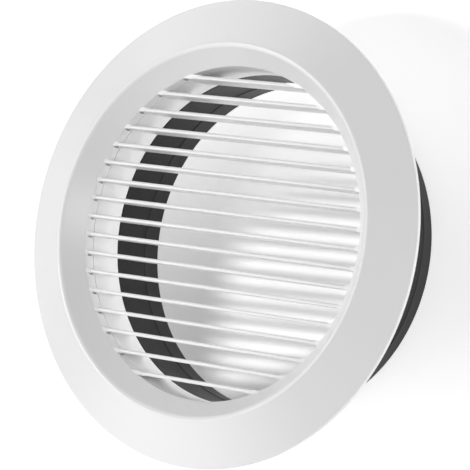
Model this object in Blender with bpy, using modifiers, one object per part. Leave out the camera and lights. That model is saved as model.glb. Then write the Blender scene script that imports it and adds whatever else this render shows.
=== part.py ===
"""Round louvred vent cover for a 150 mm air duct.

A white front frame with a raised, rounded rim carries a white louvre core of level slats.
A black rubber sleeve is pushed over the frame's spigot, keeps the core in its seat and seals
the cover in the duct.

Metres. +Z is the axis of the duct and points out into the room, and the slats run along X.
The origin is the middle of the sleeve's rear edge, on which the cover stands face up.
"""

import math

import bmesh
import bpy
from mathutils import Vector

# Front frame. Heights are counted from the front edge of the flange's lip.
FLANGE_RADIUS = 0.1000
LIP_HEIGHT = 0.0019
LIP_WIDTH = 0.0024
LIP_ROUND = 0.0005
RIM_RADIUS = 0.0799
RIM_RISE = 0.0082
RIM_ROUND = 0.0013
FUNNEL_DROP = 0.0011
FUNNEL_FOOT_ROUND = 0.0004
THROAT_LENGTH = 0.0051
FRAME_SHELL = 0.0018
SPIGOT_WALL = 0.0018
SPIGOT_REACH = 0.0239

# Bore of the duct, shared by the throat, the core and the sleeve's tail.
DUCT_RADIUS = 0.0715

# Gap between pieces that seat on each other.
CLEARANCE = 0.0003

# Louvre core.
CORE_WALL = 0.0016
CORE_EDGE_ROUND = 0.0004
SLAT_PITCH = 0.00807
SLAT_STACK_OFFSET = 0.0007
SLAT_EDGE_GAP = 0.0040
SLAT_FRONT_THICKNESS = 0.0017
SLAT_REAR_THICKNESS = 0.0012
SLAT_DEPTH = 0.0180
SLAT_FRONT_ROUND = 0.0006
SLAT_REAR_ROUND = 0.0003

# Rubber sleeve.
SLEEVE_REACH = 0.0535
SLEEVE_SETBACK = 0.0015
CUP_WALL = 0.0018
STEP_THICKNESS = 0.0021
SLEEVE_TAPER = 0.0030
TAIL_WALL = 0.0022
SLEEVE_ROUND = 0.0005
BEAD_HEIGHT = 0.0004
BEAD_WIDTH = 0.0010
INNER_BEAD_FROM_END = 0.0101
OUTER_BEAD_FROM_END = 0.0068

# Fineness of the faceted solids.
SEGMENTS = 96
ARC_STEPS = 3
RIM_STEPS = 5

# Places that follow from the sizes.
LIP_FRONT_Z = SLEEVE_REACH
LIP_BACK_Z = LIP_FRONT_Z - LIP_HEIGHT
FUNNEL_FOOT_Z = LIP_FRONT_Z - FUNNEL_DROP
SHOULDER_Z = FUNNEL_FOOT_Z - THROAT_LENGTH
SPIGOT_END_Z = LIP_FRONT_Z - SPIGOT_REACH
CORE_RADIUS = DUCT_RADIUS + CORE_WALL
SPIGOT_BORE_RADIUS = CORE_RADIUS + CLEARANCE
SPIGOT_RADIUS = SPIGOT_BORE_RADIUS + SPIGOT_WALL
CORE_FRONT_Z = SHOULDER_Z - CLEARANCE
SLAT_FRONT_Z = FUNNEL_FOOT_Z
SLAT_TIP_RADIUS = DUCT_RADIUS - CLEARANCE
SLATS_EACH_WAY = int((DUCT_RADIUS - SLAT_EDGE_GAP) / SLAT_PITCH)
CUP_BORE_RADIUS = SPIGOT_RADIUS + CLEARANCE
CUP_RADIUS = CUP_BORE_RADIUS + CUP_WALL
CUP_FRONT_Z = LIP_BACK_Z - SLEEVE_SETBACK
STEP_FRONT_Z = SPIGOT_END_Z - CLEARANCE
STEP_REAR_Z = STEP_FRONT_Z - STEP_THICKNESS
TAIL_RADIUS = DUCT_RADIUS + TAIL_WALL

WHITE_PLASTIC = (0.86, 0.86, 0.86, 1.0)
BLACK_RUBBER = (0.035, 0.035, 0.037, 1.0)


def clear_scene():
    for obj in list(bpy.data.objects):
        bpy.data.objects.remove(obj, do_unlink=True)


def new_collection(name):
    collection = bpy.data.collections.new(name)
    bpy.context.scene.collection.children.link(collection)
    return collection


def plain_material(name, color, roughness):
    material = bpy.data.materials.new(name)
    material.use_nodes = True
    shader = material.node_tree.nodes["Principled BSDF"]
    shader.inputs["Base Color"].default_value = color
    shader.inputs["Roughness"].default_value = roughness
    shader.inputs["Metallic"].default_value = 0.0
    return material


def crossing(point_a, direction_a, point_b, direction_b):
    """The point where two lines of the profile plane cross."""
    across = direction_a.x * direction_b.y - direction_a.y * direction_b.x
    between = point_b - point_a
    along = (between.x * direction_b.y - between.y * direction_b.x) / across
    return point_a + direction_a * along


def rounded(corners):
    """A closed outline of (x, y, radius, steps) corners, with an arc at each corner that has a radius."""
    outline = []
    for index, (x, y, radius, steps) in enumerate(corners):
        corner = Vector((x, y))
        if radius == 0.0:
            outline.append(corner)
            continue
        before = Vector(corners[index - 1][:2]) - corner
        after = Vector(corners[(index + 1) % len(corners)][:2]) - corner
        half_angle = before.angle(after) / 2
        setback = radius / math.tan(half_angle)
        bisector = (before.normalized() + after.normalized()).normalized()
        centre = corner + bisector * (radius / math.sin(half_angle))
        start = corner + before.normalized() * setback - centre
        end = corner + after.normalized() * setback - centre
        turn = start.angle_signed(end)
        for step in range(steps + 1):
            outline.append(centre + rotated(start, turn * step / steps))
    return outline


def rotated(vector, angle):
    """A vector of the profile plane turned clockwise, the way angle_signed counts."""
    cosine = math.cos(angle)
    sine = math.sin(angle)
    return Vector((vector.x * cosine + vector.y * sine, vector.y * cosine - vector.x * sine))


def turned(name, outline, collection):
    """A ring or plug turned about Z from an outline of (radius, height) points that runs clockwise."""
    mesh = bpy.data.meshes.new(name)
    shape = bmesh.new()
    points = [shape.verts.new((point.x, 0.0, point.y)) for point in outline]
    for first, second in zip(points, points[1:] + points[:1]):
        shape.edges.new((first, second))
    shape.to_mesh(mesh)
    shape.free()
    obj = bpy.data.objects.new(name, mesh)
    screw = obj.modifiers.new("turn", "SCREW")
    screw.axis = "Z"
    screw.angle = 2 * math.pi
    screw.steps = SEGMENTS
    screw.render_steps = SEGMENTS
    screw.use_merge_vertices = True
    screw.merge_threshold = 0.00001
    screw.use_smooth_shade = True
    collection.objects.link(obj)
    return obj


def as_cutter(obj):
    obj.hide_render = True
    obj.display_type = "WIRE"
    return obj


def add_boolean(obj, name, operation, other):
    boolean = obj.modifiers.new(name, "BOOLEAN")
    boolean.operation = operation
    boolean.solver = "EXACT"
    boolean.object = other


def front_frame(collection, material):
    """The flange with its lip, rim, funnel, throat and spigot, one moulding of even wall."""
    lip_top = Vector((FLANGE_RADIUS, LIP_FRONT_Z))
    rim = Vector((RIM_RADIUS, LIP_FRONT_Z + RIM_RISE))
    foot = Vector((DUCT_RADIUS, FUNNEL_FOOT_Z))
    cone = (lip_top - rim).normalized()
    funnel = (rim - foot).normalized()
    under_cone = lip_top + Vector((cone.y, -cone.x)) * FRAME_SHELL
    under_funnel = foot + Vector((funnel.y, -funnel.x)) * FRAME_SHELL
    upright = Vector((0.0, 1.0))
    lip_inner = Vector((FLANGE_RADIUS - LIP_WIDTH, LIP_BACK_Z))
    lip_ceiling = crossing(lip_inner, upright, under_cone, cone)
    rim_ceiling = crossing(under_cone, cone, under_funnel, funnel)
    spigot_root = crossing(Vector((SPIGOT_RADIUS, 0.0)), upright, under_funnel, funnel)
    outline = rounded([
        (rim.x, rim.y, RIM_ROUND, RIM_STEPS),
        (lip_top.x, lip_top.y, LIP_ROUND, ARC_STEPS),
        (FLANGE_RADIUS, LIP_BACK_Z, 0.0, 0),
        (lip_inner.x, lip_inner.y, 0.0, 0),
        (lip_ceiling.x, lip_ceiling.y, 0.0, 0),
        (rim_ceiling.x, rim_ceiling.y, 0.0, 0),
        (spigot_root.x, spigot_root.y, 0.0, 0),
        (SPIGOT_RADIUS, SPIGOT_END_Z, 0.0, 0),
        (SPIGOT_BORE_RADIUS, SPIGOT_END_Z, 0.0, 0),
        (SPIGOT_BORE_RADIUS, SHOULDER_Z, 0.0, 0),
        (DUCT_RADIUS, SHOULDER_Z, 0.0, 0),
        (foot.x, foot.y, FUNNEL_FOOT_ROUND, ARC_STEPS),
    ])
    frame = turned("front_frame", outline, collection)
    frame.data.materials.append(material)
    return frame


def core_ring(cutters):
    """The ring that carries the slats, with its inner edges rounded."""
    outline = rounded([
        (CORE_RADIUS, CORE_FRONT_Z, 0.0, 0),
        (CORE_RADIUS, SPIGOT_END_Z, 0.0, 0),
        (DUCT_RADIUS, SPIGOT_END_Z, CORE_EDGE_ROUND, ARC_STEPS),
        (DUCT_RADIUS, CORE_FRONT_Z, 0.0, 0),
    ])
    return as_cutter(turned("core_ring", outline, cutters))


def slat_trim(cutters):
    """The room that the slats fill: short of the throat in front, and into the ring behind its front edge."""
    step_z = CORE_FRONT_Z - CLEARANCE
    buried_radius = DUCT_RADIUS + CORE_WALL / 2
    top = SLAT_FRONT_Z + SLAT_DEPTH
    bottom = SLAT_FRONT_Z - 2 * SLAT_DEPTH
    outline = [
        Vector((0.0, top)),
        Vector((SLAT_TIP_RADIUS, top)),
        Vector((SLAT_TIP_RADIUS, step_z)),
        Vector((buried_radius, step_z)),
        Vector((buried_radius, bottom)),
        Vector((0.0, bottom)),
    ]
    return as_cutter(turned("slat_trim", outline, cutters))


def slat_mesh():
    """One slat along X, long enough to be trimmed, with its middle on Y = 0."""
    front_half = SLAT_FRONT_THICKNESS / 2
    rear_half = SLAT_REAR_THICKNESS / 2
    rear_z = SLAT_FRONT_Z - SLAT_DEPTH
    section = rounded([
        (-front_half, SLAT_FRONT_Z, SLAT_FRONT_ROUND, ARC_STEPS),
        (front_half, SLAT_FRONT_Z, SLAT_FRONT_ROUND, ARC_STEPS),
        (rear_half, rear_z, SLAT_REAR_ROUND, 1),
        (-rear_half, rear_z, SLAT_REAR_ROUND, 1),
    ])
    curve = bpy.data.curves.new("slat_section", "CURVE")
    curve.dimensions = "2D"
    curve.fill_mode = "BOTH"
    curve.extrude = DUCT_RADIUS + CORE_WALL
    spline = curve.splines.new("POLY")
    spline.points.add(len(section) - 1)
    for point, corner in zip(spline.points, section):
        point.co = (corner.x, corner.y, 0.0, 1.0)
    spline.use_cyclic_u = True
    outline = bpy.data.objects.new("slat_section", curve)
    outline.rotation_euler = (math.pi / 2, 0.0, math.pi / 2)
    bpy.context.scene.collection.objects.link(outline)
    bpy.context.view_layer.update()
    evaluated = outline.evaluated_get(bpy.context.evaluated_depsgraph_get())
    mesh = bpy.data.meshes.new_from_object(evaluated)
    mesh.transform(outline.matrix_world)
    shape = bmesh.new()
    shape.from_mesh(mesh)
    bmesh.ops.remove_doubles(shape, verts=shape.verts, dist=0.00001)
    bmesh.ops.recalc_face_normals(shape, faces=shape.faces)
    shape.to_mesh(mesh)
    shape.free()
    bpy.data.objects.remove(outline, do_unlink=True)
    return mesh


def louvre_core(collection, cutters, material):
    """The slats and their ring, one moulding."""
    mesh = slat_mesh()
    mesh.name = "louvre_core"
    lowest = SLAT_STACK_OFFSET - SLATS_EACH_WAY * SLAT_PITCH
    for vertex in mesh.vertices:
        vertex.co.y += lowest
    mesh.shade_smooth()
    mesh.set_sharp_from_angle(angle=math.radians(35))
    mesh.materials.clear()
    mesh.materials.append(material)
    core = bpy.data.objects.new("louvre_core", mesh)
    collection.objects.link(core)
    stack = core.modifiers.new("stack", "ARRAY")
    stack.count = 2 * SLATS_EACH_WAY + 1
    stack.use_relative_offset = False
    stack.use_constant_offset = True
    stack.constant_offset_displace = (0.0, SLAT_PITCH, 0.0)
    stack.use_merge_vertices = False
    add_boolean(core, "trim", "INTERSECT", slat_trim(cutters))
    add_boolean(core, "join_ring", "UNION", core_ring(cutters))
    return core


def bead(radius, z, side):
    """Three corners of a shallow ridge that stands out of a wall, outwards (side 1) or inwards (side -1)."""
    half = side * BEAD_WIDTH / 2
    return [
        (radius, z + half, 0.0, 0),
        (radius + side * BEAD_HEIGHT, z, 0.0, 0),
        (radius, z - half, 0.0, 0),
    ]


def seal_sleeve(collection, material):
    """The rubber sleeve: a cup over the spigot, a step under its end and a plain tail with two fine beads."""
    outline = rounded(
        [
            (CUP_BORE_RADIUS, CUP_FRONT_Z, 0.0, 0),
            (CUP_RADIUS, CUP_FRONT_Z, SLEEVE_ROUND, ARC_STEPS),
            (CUP_RADIUS, STEP_REAR_Z, 0.0, 0),
            (TAIL_RADIUS, STEP_REAR_Z - SLEEVE_TAPER, 0.0, 0),
        ]
        + bead(TAIL_RADIUS, OUTER_BEAD_FROM_END, 1)
        + [
            (TAIL_RADIUS, 0.0, SLEEVE_ROUND, ARC_STEPS),
            (DUCT_RADIUS, 0.0, SLEEVE_ROUND, ARC_STEPS),
        ]
        + bead(DUCT_RADIUS, INNER_BEAD_FROM_END, -1)
        + [
            (DUCT_RADIUS, STEP_FRONT_Z, 0.0, 0),
            (CUP_BORE_RADIUS, STEP_FRONT_Z, 0.0, 0),
        ]
    )
    sleeve = turned("seal_sleeve", outline, collection)
    sleeve.data.materials.append(material)
    return sleeve


def main():
    clear_scene()
    parts = new_collection("round_vent_cover")
    cutters = new_collection("cutters")
    white = plain_material("white_plastic", WHITE_PLASTIC, 0.42)
    core_white = plain_material("core_plastic", WHITE_PLASTIC, 0.42)
    black = plain_material("black_rubber", BLACK_RUBBER, 0.55)
    front_frame(parts, white)
    louvre_core(parts, cutters, core_white)
    seal_sleeve(parts, black)


main()
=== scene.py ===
"""Looks of the round vent cover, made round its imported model.

The three mouldings are made again as finer meshes on the model's own sizes: the white front frame,
the white louvre core that is pushed into it from behind, and the black rubber sleeve.
Metres. +Z is the duct's axis and points at the viewer's side, and the slats run along X.
"""

import math

import bmesh
import bpy
from mathutils import Matrix, Vector


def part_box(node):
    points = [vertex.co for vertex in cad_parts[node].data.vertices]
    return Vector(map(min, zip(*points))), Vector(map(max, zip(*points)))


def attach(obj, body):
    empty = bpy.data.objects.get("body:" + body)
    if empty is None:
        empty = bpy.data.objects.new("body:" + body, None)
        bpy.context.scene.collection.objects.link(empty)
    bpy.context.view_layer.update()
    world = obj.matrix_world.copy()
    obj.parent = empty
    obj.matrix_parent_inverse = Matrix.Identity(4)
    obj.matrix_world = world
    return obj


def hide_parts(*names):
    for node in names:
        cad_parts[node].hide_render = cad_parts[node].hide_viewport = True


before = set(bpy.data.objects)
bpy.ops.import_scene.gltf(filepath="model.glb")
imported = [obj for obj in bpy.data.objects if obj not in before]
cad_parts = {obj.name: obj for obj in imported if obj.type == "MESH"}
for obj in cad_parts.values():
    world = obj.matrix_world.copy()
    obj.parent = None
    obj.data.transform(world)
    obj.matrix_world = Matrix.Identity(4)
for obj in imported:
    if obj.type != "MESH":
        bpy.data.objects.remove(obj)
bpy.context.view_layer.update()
FRAME_LOW, FRAME_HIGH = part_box("front_frame")
CORE_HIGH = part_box("louvre_core")[1]
SLEEVE_LOW, SLEEVE_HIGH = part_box("seal_sleeve")

# Sizes that the model's boxes give.
FLANGE_RADIUS = FRAME_HIGH.x
SPIGOT_END_Z = FRAME_LOW.z
CORE_RADIUS = CORE_HIGH.x
SLAT_FRONT_Z = CORE_HIGH.z
CUP_RADIUS = SLEEVE_HIGH.x
CUP_FRONT_Z = SLEEVE_HIGH.z
FLOOR_Z = SLEEVE_LOW.z

# The model's driving sizes that its boxes don't give.
CLEARANCE = 0.0003
CORE_WALL = 0.0016
LIP_HEIGHT = 0.0019
LIP_WIDTH = 0.0024
LIP_BACK_RISE = 0.0015
RIM_RADIUS = 0.0799
RIM_RISE = 0.0082
FRAME_SHELL = 0.0018
SPIGOT_WALL = 0.0018
THROAT_LENGTH = 0.0051
SLAT_PITCH = 0.00807
SLAT_STACK_OFFSET = 0.0007
SLATS_EACH_WAY = 8
SLAT_DEPTH = 0.0180
SLAT_FRONT_THICKNESS = 0.0017
SLAT_REAR_THICKNESS = 0.0012
STEP_THICKNESS = 0.0021
SLEEVE_TAPER = 0.0030
TAIL_WALL = 0.0022
CUP_WALL = 0.0018
BEAD_HEIGHT = 0.0004
BEAD_WIDTH = 0.0010
INNER_BEAD_Z = 0.0101
OUTER_BEAD_Z = 0.0068

# Places that follow from them.
DUCT_RADIUS = CORE_RADIUS - CORE_WALL
LIP_BACK_Z = CUP_FRONT_Z + LIP_BACK_RISE
LIP_FRONT_Z = LIP_BACK_Z + LIP_HEIGHT
FUNNEL_FOOT_Z = SLAT_FRONT_Z
SHOULDER_Z = FUNNEL_FOOT_Z - THROAT_LENGTH
CORE_FRONT_Z = SHOULDER_Z - CLEARANCE
SPIGOT_BORE_RADIUS = CORE_RADIUS + CLEARANCE
SPIGOT_RADIUS = SPIGOT_BORE_RADIUS + SPIGOT_WALL
SLAT_TIP_RADIUS = (DUCT_RADIUS + CORE_RADIUS) / 2
CUP_BORE_RADIUS = CUP_RADIUS - CUP_WALL
STEP_FRONT_Z = SPIGOT_END_Z - CLEARANCE
STEP_REAR_Z = STEP_FRONT_Z - STEP_THICKNESS
TAIL_RADIUS = DUCT_RADIUS + TAIL_WALL

# The corner that the rim's wide round is drawn in, so that its crest shows where the photograph has it.
RIM_PULL = 0.0005
RIM_DROP = 0.0002

# Edge rounds of the fine meshes.
RIM_ROUND = 0.0026
LIP_ROUND = 0.0003
FUNNEL_FOOT_ROUND = 0.0004
SHARP_ROUND = 0.0002
INNER_FILLET = 0.0008
CORE_EDGE_ROUND = 0.0004
SLAT_FRONT_ROUND = 0.0006
SLAT_REAR_ROUND = 0.0003
SLAT_TIP_ROUND = 0.0002
SLEEVE_ROUND = 0.0005

# The slats' square ends, which lie in notches of the throat.
END_LENGTH = 0.0024
END_HALF = 0.00095
END_RISE = 0.0004
END_STEP = 0.00008
NOTCH_GAP = 0.00002
NOTCH_REACH = 0.00002

# The small slot in the throat under each end. Start and end count back from the slats' fronts.
SLOT_HEIGHT = 0.0007
SLOT_REACH = 0.0012
SLOT_START = 0.0011
SLOT_END = 0.0041

# How the meshes are made.
SEGMENTS = 256
ARC_STEPS = 6
RIM_STEPS = 12
ROOM_SPARE = 0.0020
AXIS_WELD = 0.000001
SLIVER_WELD = 0.000002
SMOOTH_ANGLE = math.radians(40)

# White plastic. Scales are grains per metre, and heights are metres.
WHITE_COLORS = (0.855, 0.855, 0.855), (0.865, 0.865, 0.865)
WHITE_ROUGHNESS = 0.29, 0.35
WHITE_IOR = 1.52
WAVE_SCALE = 45.0
WAVE_HEIGHT = 0.00006
WHITE_GRAIN_SCALE = 4200.0
WHITE_GRAIN_ROUGHNESS = 0.6
WHITE_GRAIN_HEIGHT = 0.000006

# Black rubber. The lines are long round the sleeve and fine along it.
RUBBER_COLORS = (0.013, 0.013, 0.0135), (0.021, 0.021, 0.0215)
RUBBER_ROUGHNESS = 0.36, 0.46
RUBBER_IOR = 1.50
RUBBER_SPECULAR = 0.25
PATCH_SCALE = 60.0
LINE_SCALES = 6.0, 6.0, 1800.0
LINE_HEIGHT = 0.00004
RUBBER_GRAIN_SCALE = 3200.0
RUBBER_GRAIN_HEIGHT = 0.00001

# The part of a noise's range that most of its values lie in.
NOISE_MIDDLE = 0.3, 0.7

# The floor. Its light is painted light, a glow that it gives to the object, and what is seen of it is given
# apart.
FLOOR_HALF = 4.0
FLOOR_COLOR_OUTSIDE = 0.92, 0.92, 0.92
# The floor's colour is painted darker inside the duct's ring, as shade under the cover.
FLOOR_COLOR_INSIDE_PAINTED_SHADE = 0.70, 0.70, 0.70
# Painted light: the floor glows though it is no lamp, more inside the duct and most towards -Y, to light the
# inner walls.
FLOOR_LIGHT_OUTSIDE = 0.49
FLOOR_LIGHT_INSIDE = 1.25, 2.57
FLOOR_SEEN_OUTSIDE = 0.52

# Painted light and shade on the floor inside the duct: how bright it is painted, lighter towards +Y, as level
# + y * (slope + curve * y).
PAINTED_INSIDE_LEVEL = 0.63
PAINTED_INSIDE_SLOPE = 4.43
PAINTED_INSIDE_CURVE = 16.7

# The painted spot of light inside the duct, cut off at its foot, and the painted bands of light and slat
# shadow in it.
SPOT_X = 0.0411
SPOT_Y = -0.0336
SPOT_RADIUS = 0.0726
SPOT_SOFTNESS = 0.0119
SPOT_FOOT_SLOPE = -0.5
SPOT_FOOT = -0.0665, -0.0470
BAND_LEVEL = 0.81
BAND_DEPTH = 0.184
BAND_PITCH = 0.00720
BAND_PLACE = -0.00143
BAND_TILT = -0.0266

# What the lamps already give to the floor there, as a level, and a slope and a curve along each axis.
LAMPS_LEVEL = 0.485
LAMPS_ALONG_X = 0.22, -57.7
LAMPS_ALONG_Y = -0.46, -62.5

# The world's even light, and what the camera and a gloss see of it.
WORLD_LIGHT = 0.02
WORLD_SEEN = 1.0

# Each lamp's name, azimuth and elevation in degrees, distance, length, width and power in watts.
LAMPS = (
    ("key", 183.0, 50.0, 1.25, 0.30, 0.05, 4.2),
    ("lower_left", 225.0, 40.0, 1.8, 1.2, 1.2, 11.5),
    ("lower_left_low", 225.0, 25.0, 1.8, 1.2, 1.2, 6.1),
    ("upper_left", 135.0, 25.0, 1.8, 1.2, 1.2, 10.8),
    ("right", 0.0, 50.0, 2.0, 0.8, 0.7, 2.6),
    ("right_low", 0.0, 20.0, 2.0, 0.8, 0.7, 17.8),
)

# Camera, at the photograph's place. The photograph's frame is square.
CAMERA_PLACE = Vector((0.7126, -0.0490, 1.0084))
CAMERA_BACK = Vector((0.59236, -0.04127, 0.80462))
CAMERA_UP = Vector((-0.10311, 0.98659, 0.12651))
CAMERA_CLIP = 0.1, 20.0
SENSOR_MM = 36.0
LENS_MM = 216.1


def crossing(point_a, direction_a, point_b, direction_b):
    """The point where two lines of the profile plane cross."""
    across = direction_a.x * direction_b.y - direction_a.y * direction_b.x
    between = point_b - point_a
    along = (between.x * direction_b.y - between.y * direction_b.x) / across
    return point_a + direction_a * along


def rotated(vector, angle):
    """A vector of the profile plane turned clockwise, the way angle_signed counts."""
    cosine = math.cos(angle)
    sine = math.sin(angle)
    return Vector((vector.x * cosine + vector.y * sine, vector.y * cosine - vector.x * sine))


def rounded(corners):
    """A closed outline of (x, y, radius, steps) corners, with an arc at each corner that has a radius."""
    outline = []
    for index, (x, y, radius, steps) in enumerate(corners):
        corner = Vector((x, y))
        if radius == 0.0:
            outline.append(corner)
            continue
        before = Vector(corners[index - 1][:2]) - corner
        after = Vector(corners[(index + 1) % len(corners)][:2]) - corner
        half_angle = before.angle(after) / 2
        setback = radius / math.tan(half_angle)
        bisector = (before.normalized() + after.normalized()).normalized()
        centre = corner + bisector * (radius / math.sin(half_angle))
        start = corner + before.normalized() * setback - centre
        end = corner + after.normalized() * setback - centre
        turn = start.angle_signed(end)
        for step in range(steps + 1):
            outline.append(centre + rotated(start, turn * step / steps))
    return outline


def rectangle(low_y, high_y, rear_z, front_z):
    """A section of (y, z) points with four sharp corners."""
    return [
        Vector((low_y, front_z)),
        Vector((high_y, front_z)),
        Vector((high_y, rear_z)),
        Vector((low_y, rear_z)),
    ]


def new_object(name, data):
    obj = bpy.data.objects.new(name, data)
    bpy.context.scene.collection.objects.link(obj)
    return obj


def object_from(name, shape):
    """An object whose mesh is the bmesh, which is freed."""
    mesh = bpy.data.meshes.new(name)
    shape.to_mesh(mesh)
    shape.free()
    return new_object(name, mesh)


def turned(name, outline):
    """A solid turned about Z from a closed outline of (radius, height) points that runs clockwise."""
    shape = bmesh.new()
    rings = []
    for segment in range(SEGMENTS):
        angle = 2 * math.pi * segment / SEGMENTS
        cosine = math.cos(angle)
        sine = math.sin(angle)
        rings.append([shape.verts.new((p.x * cosine, p.x * sine, p.y)) for p in outline])
    for segment in range(SEGMENTS):
        here = rings[segment]
        there = rings[(segment + 1) % SEGMENTS]
        for index in range(len(outline)):
            following = (index + 1) % len(outline)
            shape.faces.new((here[index], here[following], there[following], there[index]))
    bmesh.ops.recalc_face_normals(shape, faces=shape.faces)
    return object_from(name, shape)


def welded(shape, distance):
    """Merges points that nearly meet, and takes out the sliver faces between them."""
    bmesh.ops.remove_doubles(shape, verts=shape.verts, dist=distance)
    bmesh.ops.dissolve_degenerate(shape, edges=shape.edges, dist=distance)


def plug(name, outline):
    """A solid without a bore, turned from an outline whose first and last points are on the axis."""
    obj = turned(name, outline)
    shape = bmesh.new()
    shape.from_mesh(obj.data)
    welded(shape, AXIS_WELD)
    bmesh.ops.recalc_face_normals(shape, faces=shape.faces)
    shape.to_mesh(obj.data)
    shape.free()
    return obj


def boolean(obj, operation, other):
    modifier = obj.modifiers.new(operation.lower(), "BOOLEAN")
    modifier.operation = operation
    modifier.solver = "EXACT"
    modifier.object = other


def applied(obj, *used):
    """Puts the booleans' result into the mesh, without slivers, and removes the objects that they used."""
    bpy.context.view_layer.update()
    evaluated = obj.evaluated_get(bpy.context.evaluated_depsgraph_get())
    mesh = bpy.data.meshes.new_from_object(evaluated)
    shape = bmesh.new()
    shape.from_mesh(mesh)
    welded(shape, SLIVER_WELD)
    shape.to_mesh(mesh)
    shape.free()
    obj.modifiers.clear()
    obj.data = mesh
    mesh.name = obj.name
    for other in used:
        bpy.data.objects.remove(other, do_unlink=True)
    return obj


def smooth(obj):
    """Smooth shading with true sharp edges, in which the large faces stay flat beside their rounded edges."""
    obj.data.shade_smooth()
    obj.data.set_sharp_from_angle(angle=SMOOTH_ANGLE)
    weighted = obj.modifiers.new("weighted_normals", "WEIGHTED_NORMAL")
    weighted.keep_sharp = True


def slat_heights():
    """The Y of each slat's middle, from the lowest slat to the highest."""
    return [SLAT_STACK_OFFSET + step * SLAT_PITCH for step in range(-SLATS_EACH_WAY, SLATS_EACH_WAY + 1)]


def bars(name, section):
    """Bars along X, one for each slat, of an outline of (y, z) points about the slat's middle."""
    shape = bmesh.new()
    for y in slat_heights():
        left = [shape.verts.new((-CORE_RADIUS, y + point.x, point.y)) for point in section]
        right = [shape.verts.new((CORE_RADIUS, y + point.x, point.y)) for point in section]
        shape.faces.new(left)
        shape.faces.new(list(reversed(right)))
        for index in range(len(section)):
            following = (index + 1) % len(section)
            shape.faces.new((left[index], right[index], right[following], left[following]))
    bmesh.ops.recalc_face_normals(shape, faces=shape.faces)
    return object_from(name, shape)


def trimmed_bars(name, section, reach):
    """Bars along X that end at a radius."""
    obj = bars(name, section)
    front = max(point.y for point in section) + ROOM_SPARE
    rear = min(point.y for point in section) - ROOM_SPARE
    outline = [Vector((0.0, rear)), Vector((0.0, front)), Vector((reach, front)), Vector((reach, rear))]
    room = plug(name + "_room", outline)
    boolean(obj, "INTERSECT", room)
    return applied(obj, room)


def notch_cutter():
    """The notches that take the slats' ends, open to the front and the rear."""
    half = END_HALF + NOTCH_GAP
    section = rectangle(-half, half, CORE_FRONT_Z, SLAT_FRONT_Z + END_RISE + NOTCH_GAP)
    return trimmed_bars("notch_cutter", section, SLAT_TIP_RADIUS + NOTCH_REACH)


def slot_cutter():
    """The small slots in the throat under the slats' ends."""
    top = -END_HALF
    section = rectangle(top - SLOT_HEIGHT, top, SLAT_FRONT_Z - SLOT_END, SLAT_FRONT_Z - SLOT_START)
    return trimmed_bars("slot_cutter", section, SLAT_TIP_RADIUS + SLOT_REACH)


def front_frame():
    """The flange with its lip, rim, funnel, throat and spigot, one moulding of even wall."""
    lip_top = Vector((FLANGE_RADIUS, LIP_FRONT_Z))
    rim = Vector((RIM_RADIUS - RIM_PULL, LIP_FRONT_Z + RIM_RISE - RIM_DROP))
    foot = Vector((DUCT_RADIUS, FUNNEL_FOOT_Z))
    cone = (lip_top - rim).normalized()
    funnel = (rim - foot).normalized()
    under_cone = lip_top + Vector((cone.y, -cone.x)) * FRAME_SHELL
    under_funnel = foot + Vector((funnel.y, -funnel.x)) * FRAME_SHELL
    upright = Vector((0.0, 1.0))
    lip_inner = Vector((FLANGE_RADIUS - LIP_WIDTH, LIP_BACK_Z))
    lip_ceiling = crossing(lip_inner, upright, under_cone, cone)
    rim_ceiling = crossing(under_cone, cone, under_funnel, funnel)
    spigot_root = crossing(Vector((SPIGOT_RADIUS, 0.0)), upright, under_funnel, funnel)
    outline = rounded([
        (rim.x, rim.y, RIM_ROUND, RIM_STEPS),
        (lip_top.x, lip_top.y, LIP_ROUND, ARC_STEPS),
        (FLANGE_RADIUS, LIP_BACK_Z, SHARP_ROUND, ARC_STEPS),
        (lip_inner.x, lip_inner.y, SHARP_ROUND, ARC_STEPS),
        (lip_ceiling.x, lip_ceiling.y, SHARP_ROUND, ARC_STEPS),
        (rim_ceiling.x, rim_ceiling.y, INNER_FILLET, ARC_STEPS),
        (spigot_root.x, spigot_root.y, INNER_FILLET, ARC_STEPS),
        (SPIGOT_RADIUS, SPIGOT_END_Z, SHARP_ROUND, ARC_STEPS),
        (SPIGOT_BORE_RADIUS, SPIGOT_END_Z, SHARP_ROUND, ARC_STEPS),
        (SPIGOT_BORE_RADIUS, SHOULDER_Z, 0.0, 0),
        (DUCT_RADIUS, SHOULDER_Z, SHARP_ROUND, ARC_STEPS),
        (foot.x, foot.y, FUNNEL_FOOT_ROUND, ARC_STEPS),
    ])
    obj = turned("front_frame_fine", outline)
    notches = notch_cutter()
    slots = slot_cutter()
    boolean(obj, "DIFFERENCE", notches)
    boolean(obj, "DIFFERENCE", slots)
    return applied(obj, notches, slots)


def core_ring():
    outline = rounded([
        (CORE_RADIUS, CORE_FRONT_Z, SHARP_ROUND, ARC_STEPS),
        (CORE_RADIUS, SPIGOT_END_Z, SHARP_ROUND, ARC_STEPS),
        (DUCT_RADIUS, SPIGOT_END_Z, CORE_EDGE_ROUND, ARC_STEPS),
        (DUCT_RADIUS, CORE_FRONT_Z, SHARP_ROUND, ARC_STEPS),
    ])
    return turned("core_ring", outline)


def slat_room():
    """The room that the slats fill: into the throat's notches in front, and into the ring behind them."""
    bottom = SLAT_FRONT_Z - 2 * SLAT_DEPTH
    outline = rounded([
        (0.0, bottom, 0.0, 0),
        (0.0, SLAT_FRONT_Z, 0.0, 0),
        (SLAT_TIP_RADIUS, SLAT_FRONT_Z, SLAT_TIP_ROUND, ARC_STEPS),
        (SLAT_TIP_RADIUS, bottom, 0.0, 0),
    ])
    return plug("slat_room", outline)


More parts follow.
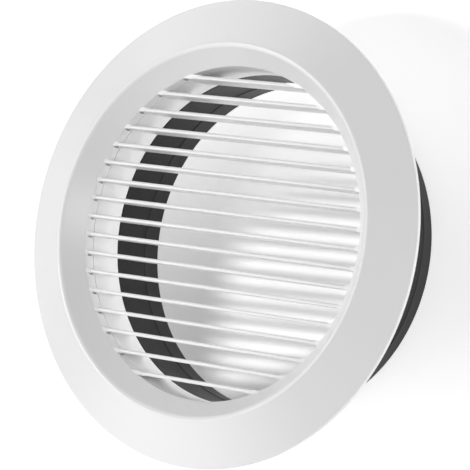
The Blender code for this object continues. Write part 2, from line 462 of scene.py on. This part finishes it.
def slat_stack():
    """All the slats, each long enough to be trimmed to the room."""
    front_half = SLAT_FRONT_THICKNESS / 2
    rear_half = SLAT_REAR_THICKNESS / 2
    rear_z = SLAT_FRONT_Z - SLAT_DEPTH
    section = rounded([
        (-front_half, SLAT_FRONT_Z, SLAT_FRONT_ROUND, ARC_STEPS),
        (front_half, SLAT_FRONT_Z, SLAT_FRONT_ROUND, ARC_STEPS),
        (rear_half, rear_z, SLAT_REAR_ROUND, ARC_STEPS),
        (-rear_half, rear_z, SLAT_REAR_ROUND, ARC_STEPS),
    ])
    return bars("louvre_core_fine", section)


def slat_ends():
    """The square ends of the slats, whose fronts rise a little towards the throat."""
    rear = CORE_FRONT_Z - CLEARANCE
    obj = bars("slat_ends", rectangle(-END_HALF, END_HALF, rear, SLAT_FRONT_Z + 2 * END_RISE))
    room = turned("end_room", [
        Vector((SLAT_TIP_RADIUS - END_LENGTH, rear - END_LENGTH)),
        Vector((SLAT_TIP_RADIUS - END_LENGTH, SLAT_FRONT_Z + END_STEP)),
        Vector((SLAT_TIP_RADIUS, SLAT_FRONT_Z + END_RISE)),
        Vector((SLAT_TIP_RADIUS, rear - END_LENGTH)),
    ])
    boolean(obj, "INTERSECT", room)
    return applied(obj, room)


def louvre_core():
    """The slats and their ring, one moulding."""
    obj = slat_stack()
    room = slat_room()
    ring = core_ring()
    ends = slat_ends()
    boolean(obj, "INTERSECT", room)
    boolean(obj, "UNION", ring)
    boolean(obj, "UNION", ends)
    return applied(obj, room, ring, ends)


def bead(radius, z, side):
    """Three corners of a shallow ridge that stands out of a wall, outwards (side 1) or inwards (side -1)."""
    half = side * BEAD_WIDTH / 2
    return [
        (radius, z + half, 0.0, 0),
        (radius + side * BEAD_HEIGHT, z, SHARP_ROUND, ARC_STEPS),
        (radius, z - half, 0.0, 0),
    ]


def seal_sleeve():
    """The rubber sleeve: a cup over the spigot, a step under its end and a plain tail with two fine beads."""
    outline = rounded(
        [
            (CUP_BORE_RADIUS, CUP_FRONT_Z, SHARP_ROUND, ARC_STEPS),
            (CUP_RADIUS, CUP_FRONT_Z, SLEEVE_ROUND, ARC_STEPS),
            (CUP_RADIUS, STEP_REAR_Z, SLEEVE_ROUND, ARC_STEPS),
            (TAIL_RADIUS, STEP_REAR_Z - SLEEVE_TAPER, SLEEVE_ROUND, ARC_STEPS),
        ]
        + bead(TAIL_RADIUS, OUTER_BEAD_Z, 1)
        + [
            (TAIL_RADIUS, 0.0, SLEEVE_ROUND, ARC_STEPS),
            (DUCT_RADIUS, 0.0, SLEEVE_ROUND, ARC_STEPS),
        ]
        + bead(DUCT_RADIUS, INNER_BEAD_Z, -1)
        + [
            (DUCT_RADIUS, STEP_FRONT_Z, SHARP_ROUND, ARC_STEPS),
            (CUP_BORE_RADIUS, STEP_FRONT_Z, SHARP_ROUND, ARC_STEPS),
        ]
    )
    return turned("seal_sleeve_fine", outline)


class Nodes:
    """Adds nodes to one tree and joins them."""

    def __init__(self, tree):
        self.tree = tree

    def add(self, kind, **settings):
        node = self.tree.nodes.new(kind)
        for key, value in settings.items():
            setattr(node, key, value)
        return node

    def join(self, source, target):
        self.tree.links.new(source, target)

    def feed(self, value, target):
        """Sets an input to a number, or joins it to another node's output."""
        if isinstance(value, bpy.types.NodeSocket):
            self.join(value, target)
        else:
            target.default_value = value

    def math(self, operation, *values):
        node = self.add("ShaderNodeMath", operation=operation)
        for value, target in zip(values, node.inputs):
            self.feed(value, target)
        return node.outputs[0]

    def scaled_sum(self, value, scale, addend):
        """value * scale + addend."""
        return self.math("MULTIPLY_ADD", value, scale, addend)

    def ranged(self, value, source, target, kind="LINEAR"):
        """A value taken from one range to another, and held at its ends."""
        node = self.add("ShaderNodeMapRange", interpolation_type=kind)
        node.inputs["From Min"].default_value, node.inputs["From Max"].default_value = source
        node.inputs["To Min"].default_value, node.inputs["To Max"].default_value = target
        self.join(value, node.inputs["Value"])
        return node.outputs["Result"]

    def between(self, noise, low, high):
        """A value that runs from low to high over the middle of a noise's range."""
        return self.ranged(noise, NOISE_MIDDLE, (low, high))

    def blend(self, factor, low, high):
        """A value that runs from low to high as the factor does from 0 to 1."""
        node = self.add("ShaderNodeMix", data_type="FLOAT")
        self.feed(factor, node.inputs["Factor"])
        self.feed(low, node.inputs["A"])
        self.feed(high, node.inputs["B"])
        return node.outputs["Result"]

    def color_between(self, factor, low, high):
        """A colour that runs from low to high as the factor does from 0 to 1."""
        mixed = self.add("ShaderNodeMix", data_type="RGBA")
        mixed.inputs["A"].default_value = (*low, 1.0)
        mixed.inputs["B"].default_value = (*high, 1.0)
        self.join(factor, mixed.inputs["Factor"])
        return mixed.outputs["Result"]

    def length(self, x, y):
        """How long a level vector is."""
        level = self.add("ShaderNodeCombineXYZ")
        self.join(x, level.inputs["X"])
        self.join(y, level.inputs["Y"])
        node = self.add("ShaderNodeVectorMath", operation="LENGTH")
        self.join(level.outputs[0], node.inputs[0])
        return node.outputs["Value"]

    def seen(self):
        """1 for the rays that show the surroundings: to the camera, in a gloss and through glass."""
        path = self.add("ShaderNodeLightPath")
        direct = self.math("MAXIMUM", path.outputs["Is Camera Ray"], path.outputs["Is Glossy Ray"])
        return self.math("MAXIMUM", direct, path.outputs["Is Transmission Ray"])


class MaterialNodes(Nodes):
    """The nodes of a new material, placed by the object's own coordinates."""

    def __init__(self, name):
        self.material = bpy.data.materials.new(name)
        self.material.use_nodes = True
        super().__init__(self.material.node_tree)
        self.shader = self.tree.nodes["Principled BSDF"]
        self.output = self.tree.nodes["Material Output"]
        self.place = self.add("ShaderNodeTexCoord").outputs["Object"]

    def noise(self, scales, detail=2.0, roughness=0.5):
        """A noise with that many grains per metre along each axis."""
        scaled = self.add("ShaderNodeMapping")
        scaled.inputs["Scale"].default_value = scales
        self.join(self.place, scaled.inputs["Vector"])
        noise = self.add("ShaderNodeTexNoise")
        noise.inputs["Scale"].default_value = 1.0
        noise.inputs["Detail"].default_value = detail
        noise.inputs["Roughness"].default_value = roughness
        self.join(scaled.outputs["Vector"], noise.inputs["Vector"])
        return noise.outputs["Fac"]

    def even_noise(self, scale, **settings):
        return self.noise((scale, scale, scale), **settings)

    def bump(self, height, depth, before=None):
        """A bump of that depth in metres, over another bump's normal."""
        node = self.add("ShaderNodeBump")
        node.inputs["Strength"].default_value = 1.0
        node.inputs["Distance"].default_value = depth
        self.join(height, node.inputs["Height"])
        if before is not None:
            self.join(before, node.inputs["Normal"])
        return node.outputs["Normal"]

    def finish(self, noise, colors, roughness, normal, ior):
        """Colour and roughness that vary with a noise, the bumps' normal and one refractive index."""
        color = self.color_between(self.between(noise, 0.0, 1.0), *colors)
        self.join(color, self.shader.inputs["Base Color"])
        self.join(self.between(noise, *roughness), self.shader.inputs["Roughness"])
        self.join(normal, self.shader.inputs["Normal"])
        self.shader.inputs["IOR"].default_value = ior


def white_plastic(name):
    """Satin white moulded plastic, with a fine eroded grain and very slight waves left by the mould."""
    nodes = MaterialNodes(name)
    waves = nodes.even_noise(WAVE_SCALE)
    grain = nodes.even_noise(WHITE_GRAIN_SCALE, roughness=WHITE_GRAIN_ROUGHNESS)
    normal = nodes.bump(waves, WAVE_HEIGHT)
    normal = nodes.bump(grain, WHITE_GRAIN_HEIGHT, before=normal)
    nodes.finish(waves, WHITE_COLORS, WHITE_ROUGHNESS, normal, WHITE_IOR)
    return nodes.material


def black_rubber():
    """Matt black rubber with fine lines round it, which the mould's turning left."""
    nodes = MaterialNodes("black_rubber")
    patches = nodes.even_noise(PATCH_SCALE, detail=3.0)
    lines = nodes.noise(LINE_SCALES)
    grain = nodes.even_noise(RUBBER_GRAIN_SCALE)
    normal = nodes.bump(lines, LINE_HEIGHT)
    normal = nodes.bump(grain, RUBBER_GRAIN_HEIGHT, before=normal)
    nodes.finish(patches, RUBBER_COLORS, RUBBER_ROUGHNESS, normal, RUBBER_IOR)
    nodes.shader.inputs["Specular IOR Level"].default_value = RUBBER_SPECULAR
    return nodes.material


def painted_light_spot(nodes, x, y):
    """1 in the painted spot of light on the floor inside the duct, and 0 round it, with soft edges."""
    away = nodes.length(nodes.scaled_sum(x, 1.0, -SPOT_X), nodes.scaled_sum(y, 1.0, -SPOT_Y))
    ends = (SPOT_RADIUS + SPOT_SOFTNESS, SPOT_RADIUS - SPOT_SOFTNESS)
    disc = nodes.ranged(away, ends, (0.0, 1.0), "SMOOTHSTEP")
    height = nodes.scaled_sum(x, SPOT_FOOT_SLOPE, y)
    above_foot = nodes.ranged(height, SPOT_FOOT, (0.0, 1.0), "SMOOTHSTEP")
    return nodes.math("MULTIPLY", disc, above_foot)


def painted_light_bands(nodes, x, y):
    """How bright the spot is painted: bands of painted light between painted shadows of the slats."""
    turn = 2 * math.pi / BAND_PITCH
    angle = nodes.scaled_sum(nodes.scaled_sum(x, BAND_TILT, y), turn, -BAND_PLACE * turn)
    return nodes.scaled_sum(nodes.math("COSINE", angle), BAND_DEPTH, BAND_LEVEL)


def painted_floor_inside(nodes, x, y):
    """The glow that brings the floor inside the duct from what the lamps give it to how it is seen: painted
    light and shade, with the painted spot and bands.
    """
    plain = nodes.scaled_sum(y, nodes.scaled_sum(y, PAINTED_INSIDE_CURVE, PAINTED_INSIDE_SLOPE), PAINTED_INSIDE_LEVEL)
    painted_look = nodes.blend(painted_light_spot(nodes, x, y), plain, painted_light_bands(nodes, x, y))
    glow = nodes.scaled_sum(painted_look, 1.0, -LAMPS_LEVEL)
    for place, (slope, curve) in ((x, LAMPS_ALONG_X), (y, LAMPS_ALONG_Y)):
        glow = nodes.scaled_sum(place, nodes.scaled_sum(place, -curve, -slope), glow)
    return glow


def clear_from_below(nodes, surface):
    """Joins the surface to the output, but lets the camera look through it from below."""
    back = nodes.add("ShaderNodeNewGeometry").outputs["Backfacing"]
    camera = nodes.add("ShaderNodeLightPath").outputs["Is Camera Ray"]
    clear = nodes.add("ShaderNodeBsdfTransparent")
    chosen = nodes.add("ShaderNodeMixShader")
    nodes.join(nodes.math("MULTIPLY", back, camera), chosen.inputs["Fac"])
    nodes.join(surface.outputs[0], chosen.inputs[1])
    nodes.join(clear.outputs[0], chosen.inputs[2])
    nodes.join(chosen.outputs[0], nodes.output.inputs["Surface"])


def floor_material():
    """A pale floor that glows softly with painted light, as a lit table does, and differently inside the
    duct.
    """
    nodes = MaterialNodes("floor")
    nodes.tree.nodes.remove(nodes.shader)
    split = nodes.add("ShaderNodeSeparateXYZ")
    nodes.join(nodes.place, split.inputs[0])
    x = split.outputs["X"]
    y = split.outputs["Y"]
    outside = nodes.ranged(nodes.length(x, y), (DUCT_RADIUS, TAIL_RADIUS), (0.0, 1.0))
    light_inside = nodes.ranged(y, (0.0, -DUCT_RADIUS), FLOOR_LIGHT_INSIDE)
    light = nodes.blend(outside, light_inside, FLOOR_LIGHT_OUTSIDE)
    # What the camera sees of the floor inside the duct is painted light and shade.
    shown = nodes.blend(outside, painted_floor_inside(nodes, x, y), FLOOR_SEEN_OUTSIDE)
    glow = nodes.add("ShaderNodeEmission")
    nodes.join(nodes.blend(nodes.seen(), light, shown), glow.inputs["Strength"])
    diffuse = nodes.add("ShaderNodeBsdfDiffuse")
    # Painted shade: the floor's colour is darker inside the duct, under the cover.
    color = nodes.color_between(outside, FLOOR_COLOR_INSIDE_PAINTED_SHADE, FLOOR_COLOR_OUTSIDE)
    nodes.join(color, diffuse.inputs["Color"])
    both = nodes.add("ShaderNodeAddShader")
    nodes.join(diffuse.outputs[0], both.inputs[0])
    nodes.join(glow.outputs[0], both.inputs[1])
    clear_from_below(nodes, both)
    return nodes.material


def make_floor():
    shape = bmesh.new()
    bmesh.ops.create_grid(shape, x_segments=1, y_segments=1, size=FLOOR_HALF)
    floor = object_from("floor", shape)
    floor.location.z = FLOOR_Z
    floor.data.materials.append(floor_material())


def make_world():
    """A little even light from all round. What the camera and a gloss see of it is plain white."""
    world = bpy.data.worlds.new("studio")
    bpy.context.scene.world = world
    world.use_nodes = True
    nodes = Nodes(world.node_tree)
    background = nodes.tree.nodes["Background"]
    background.inputs["Color"].default_value = (1.0, 1.0, 1.0, 1.0)
    nodes.join(nodes.blend(nodes.seen(), WORLD_LIGHT, WORLD_SEEN), background.inputs["Strength"])


def placed(obj, place, right, up, back):
    """Puts an object at a place, with its X, Y and Z axes along three directions."""
    obj.matrix_world = Matrix.Translation(place) @ Matrix((right, up, back)).transposed().to_4x4()


def area_lamp(name, azimuth, elevation, distance, length, width, power):
    """A rectangular lamp aimed at the slats. Azimuth 0 is +X and 90 is +Y; its length lies upright."""
    a = math.radians(azimuth)
    e = math.radians(elevation)
    toward = Vector((math.cos(a) * math.cos(e), math.sin(a) * math.cos(e), math.sin(e)))
    side = Vector((-math.sin(a), math.cos(a), 0.0))
    light = bpy.data.lights.new(name, "AREA")
    light.shape = "RECTANGLE"
    light.size = width
    light.size_y = length
    light.energy = power
    lamp = new_object(name, light)
    lamp.visible_camera = False
    placed(lamp, Vector((0.0, 0.0, SLAT_FRONT_Z)) + toward * distance, side, toward.cross(side), toward)


def make_lamps():
    """A narrow key strip and three soft boxes on the left, and two soft boxes on the right."""
    for lamp in LAMPS:
        area_lamp(*lamp)


def make_camera():
    data = bpy.data.cameras.new("camera")
    data.lens = LENS_MM
    data.sensor_width = SENSOR_MM
    data.clip_start, data.clip_end = CAMERA_CLIP
    camera = new_object("camera", data)
    back = CAMERA_BACK.normalized()
    right = CAMERA_UP.cross(back).normalized()
    placed(camera, CAMERA_PLACE, right, back.cross(right), back)
    bpy.context.scene.camera = camera


def dress(obj, node, material):
    """Gives a fine mesh its material and puts it in its node's place."""
    obj.data.materials.clear()
    obj.data.materials.append(material)
    smooth(obj)
    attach(obj, "root")
    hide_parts(node)


def main():
    make_camera()
    dress(front_frame(), "front_frame", white_plastic("white_plastic"))
    dress(louvre_core(), "louvre_core", white_plastic("core_plastic"))
    dress(seal_sleeve(), "seal_sleeve", black_rubber())
    make_floor()
    make_world()
    make_lamps()
    bpy.context.scene.view_settings.view_transform = "Standard"


main()
